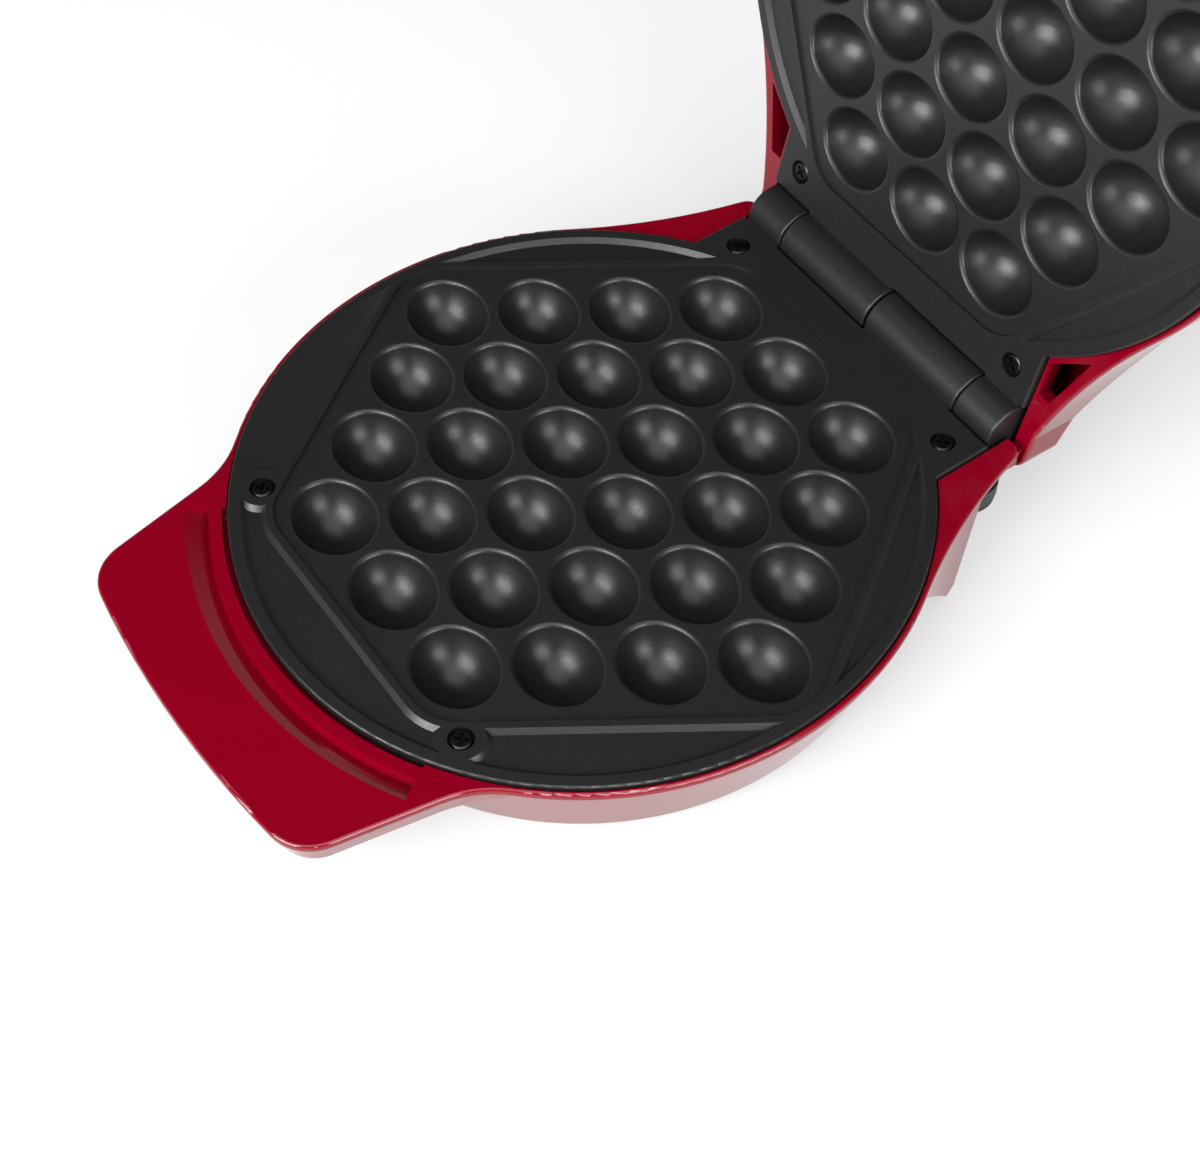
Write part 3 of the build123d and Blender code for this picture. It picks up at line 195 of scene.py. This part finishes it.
# Stainless tube, straw-tinted by its own heat
ELEMENT_TUBE = Finish("heat_tinted_stainless_tube", "#7C7266", 0.36, metallic=1.0, grain_mm=0.6,
                      relief_mm=0.008, tone_spread=0.22, blotch_mm=9.0)
# Compression-moulded phenolic: chocolate brown with the fine mottle of its wood-flour filler
PHENOLIC = Finish("pressed_brown_phenolic", "#3A2A20", 0.42, ior=1.6, grain_mm=0.5, tone_spread=0.18,
                  blotch_mm=1.5)
# Steatite pressed dry and fired unglazed: chalky off-white
STEATITE = Finish("fired_unglazed_steatite", "#E6E2D8", 0.62, ior=1.6, grain_mm=0.4, relief_mm=0.02,
                  tone_spread=0.04)
# Sleeve braided from glass yarn: off-white and rough, with lumps as wide as a yarn, 0.5 mm
GLASS_BRAID = Finish("braided_glass_sleeve", "#D8D2C4", 0.7, ior=1.55, grain_mm=0.5, relief_mm=0.08,
                     tone_spread=0.08, blotch_mm=1.0)
# Blown glass of the neon lamps: clear, with a faint warm tint
LAMP_GLASS = Finish("blown_lamp_glass", "#F4DEC8", 0.03, relief_mm=0.001, gloss_spread=0.01, transmission=0.9)
# Moulded acrylic lens caps: tinted, smooth, half clear
RED_LENS = Finish("clear_red_acrylic", "#C81420", 0.06, ior=1.49, relief_mm=0.001, gloss_spread=0.01,
                  transmission=0.55)
GREEN_LENS = Finish("clear_green_acrylic", "#1FA04A", 0.06, ior=1.49, relief_mm=0.001, gloss_spread=0.01,
                    transmission=0.55)


# Which finish each node wears
DRESSED_NODES = {
    RED_GLOSS: ("base_housing", "lid_housing"),
    CASTING_COAT: ("base_cooking_plate", "lid_cooking_plate"),
    BLACK_MOULDING: ("base_bottom_cover", "cable_gland", "cable_gland_nut", "lamp_holder"),
    RUBBER: ("front_feet", "rear_feet"),
    BLACK_SCREW: ("base_plate_screws", "lid_plate_screws", "bottom_cover_screws"),
    ZINC_STEEL: ("hinge_pin", "base_element_clamps", "base_clamp_screws", "base_shield_screws",
                 "lid_element_clamps", "lid_clamp_screws", "lid_shield_screws"),
    MILL_SHEET: ("base_heat_shield", "lid_heat_shield"),
    ELEMENT_TUBE: ("base_heating_element", "lid_heating_element"),
    PHENOLIC: ("thermostat",),
    STEATITE: ("terminal_block", "base_thermal_fuse", "lid_thermal_fuse"),
    GLASS_BRAID: ("base_wiring", "lid_wiring"),
    LAMP_GLASS: ("indicator_lamps",),
    RED_LENS: ("power_lens",),
    GREEN_LENS: ("ready_lens",),
}


def dress_nodes() -> None:
    """Give every node the finish of its real material."""
    for finish, names in DRESSED_NODES.items():
        for name in names:
            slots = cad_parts[name].data.materials
            slots.clear()
            slots.append(finish.material())
            log.info("%s wears %s", name, finish.name)


# Studio


@dataclass(frozen=True)
class SoftBox:
    """A square lamp: where it stands round the object, its side and its power.

    The azimuth is in degrees from +X toward +Y, and the elevation in degrees above the floor.
    """

    name: str
    azimuth: float
    elevation: float
    side_m: float
    watts: float

    def stand(self, aim: Vector, distance_m: float) -> None:
        """Stand the lamp and turn it to the object.

        Args:
            aim: the point that its direction is measured from.
            distance_m: how far it stands from that point.
        """
        data = bpy.data.lights.new(self.name, "AREA")
        data.shape = "SQUARE"
        data.size = self.side_m
        data.energy = self.watts
        lamp = bpy.data.objects.new(self.name, data)
        bpy.context.scene.collection.objects.link(lamp)
        turn = math.radians(self.azimuth)
        lift = math.radians(self.elevation)
        way = Vector((math.cos(turn) * math.cos(lift), math.sin(turn) * math.cos(lift), math.sin(lift)))
        lamp.location = aim + way * distance_m
        lamp.rotation_mode = "QUATERNION"
        lamp.rotation_quaternion = (-way).to_track_quat("-Z", "Y")


@dataclass
class Studio:
    """The photograph's camera, a white floor, pale walls and three soft boxes.

    The camera's right, down and ahead are its own axes, and axis_pixel is where it looks straight ahead
    in the photograph.
    """

    eye_mm: tuple[float, float, float] = (322.34, -245.40, 520.93)
    right: tuple[float, float, float] = (0.58603, 0.81029, 0.00222)
    down: tuple[float, float, float] = (0.64804, -0.46704, -0.60160)
    ahead: tuple[float, float, float] = (-0.48643, 0.35399, -0.79880)
    image_width: float = 1200.0
    image_height: float = 1152.0
    focal_pixels: float = 2209.6
    axis_pixel: tuple[float, float] = (638.3, 542.4)
    sensor_mm: float = 36.0
    nearest_m: float = 0.01
    farthest_m: float = 20.0
    floor_span_mm: float = 6000.0
    floor_paint: str = "#8E8E8E"
    floor_glow: float = 0.5
    wall_fades_from: float = 0.35
    wall_fades_to: float = 0.6
    wall_level: float = 0.5
    ceiling_level: float = 0.02
    lamp_aim_mm: tuple[float, float, float] = (0.0, 0.0, 80.0)
    lamp_distance_m: float = 1.6
    soft_boxes: tuple[SoftBox, ...] = (
        SoftBox("left_box", azimuth=-82.0, elevation=27.0, side_m=1.0, watts=58.0),
        SoftBox("right_box", azimuth=-2.0, elevation=15.0, side_m=1.0, watts=38.0),
        SoftBox("overhead_box", azimuth=-36.0, elevation=71.0, side_m=1.7, watts=27.0),
    )

    def build(self) -> None:
        """Make the camera, the floor and the light."""
        self.camera()
        self.floor()
        self.sky()
        self.lamps()

    def camera(self) -> None:
        """Set the camera where the photograph was taken from."""
        data = bpy.data.cameras.new("camera")
        data.sensor_fit = "AUTO"
        data.sensor_width = self.sensor_mm
        data.lens = self.focal_pixels * self.sensor_mm / self.image_width
        data.shift_x = (self.image_width / 2 - self.axis_pixel[0]) / self.image_width
        data.shift_y = (self.axis_pixel[1] - self.image_height / 2) / self.image_width
        data.clip_start = self.nearest_m
        data.clip_end = self.farthest_m
        camera = bpy.data.objects.new("camera", data)
        bpy.context.scene.collection.objects.link(camera)
        turned = Matrix([Vector(self.right), -Vector(self.down), -Vector(self.ahead)]).transposed()
        camera.matrix_world = Matrix.Translation(Vector(self.eye_mm) * MM) @ turned.to_4x4()
        bpy.context.scene.camera = camera

    def floor(self) -> None:
        """Lay a floor that looks white and keeps the object's shadow."""
        bpy.ops.object.select_all(action="DESELECT")
        bpy.ops.mesh.primitive_plane_add(size=self.floor_span_mm * MM)
        floor = bpy.context.object
        floor.name = "floor"
        made = bpy.data.materials.new("painted_sweep")
        made.use_nodes = True
        tree = made.node_tree
        tree.nodes.clear()
        paint = add_node(tree, "ShaderNodeBsdfDiffuse", {"Color": linear(self.floor_paint)})
        glow = add_node(tree, "ShaderNodeEmission",
                        {"Color": WHITE, "Strength": self.seen(tree, self.floor_glow)})
        both = add_node(tree, "ShaderNodeAddShader", {0: paint.outputs["BSDF"], 1: glow.outputs["Emission"]})
        add_node(tree, "ShaderNodeOutputMaterial", {"Surface": both.outputs["Shader"]})
        floor.data.materials.append(made)

    def seen(self, tree: bpy.types.NodeTree, strength: float) -> bpy.types.NodeSocket:
        """Return a strength that only looking, mirroring and looking through see.

        Args:
            tree: the node tree.
            strength: the value for those rays; every other ray gets none.
        """
        path = add_node(tree, "ShaderNodeLightPath", {})
        mirror = add_node(tree, "ShaderNodeMath",
                          {0: path.outputs["Is Camera Ray"], 1: path.outputs["Is Glossy Ray"]},
                          operation="MAXIMUM")
        glass = add_node(tree, "ShaderNodeMath",
                         {0: mirror.outputs["Value"], 1: path.outputs["Is Transmission Ray"]},
                         operation="MAXIMUM")
        level = add_node(tree, "ShaderNodeMath", {0: glass.outputs["Value"], 1: strength},
                         operation="MULTIPLY")
        return level.outputs["Value"]

    def sky(self) -> None:
        """Surround the object with a studio whose walls are pale and whose ceiling is dark."""
        world = bpy.data.worlds.new("studio")
        world.use_nodes = True
        tree = world.node_tree
        tree.nodes.clear()
        place = add_node(tree, "ShaderNodeTexCoord", {})
        height = add_node(tree, "ShaderNodeSeparateXYZ", {"Vector": place.outputs["Generated"]})
        level = add_node(tree, "ShaderNodeMapRange",
                         {"Value": height.outputs["Z"],
                          "From Min": self.wall_fades_from, "From Max": self.wall_fades_to,
                          "To Min": self.wall_level, "To Max": self.ceiling_level},
                         interpolation_type="SMOOTHSTEP")
        glow = add_node(tree, "ShaderNodeBackground", {"Color": WHITE, "Strength": level.outputs["Result"]})
        add_node(tree, "ShaderNodeOutputWorld", {"Surface": glow.outputs["Background"]})
        bpy.context.scene.world = world

    def lamps(self) -> None:
        """Stand a soft box on either side of the camera, and a wide one overhead."""
        for soft_box in self.soft_boxes:
            soft_box.stand(Vector(self.lamp_aim_mm) * MM, self.lamp_distance_m)


def main() -> None:
    """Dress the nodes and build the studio."""
    logging.basicConfig(level=logging.INFO, format="%(message)s")
    bpy.context.scene.view_settings.view_transform = "Standard"
    dress_nodes()
    Studio().build()


if __name__ == "__main__":
    main()
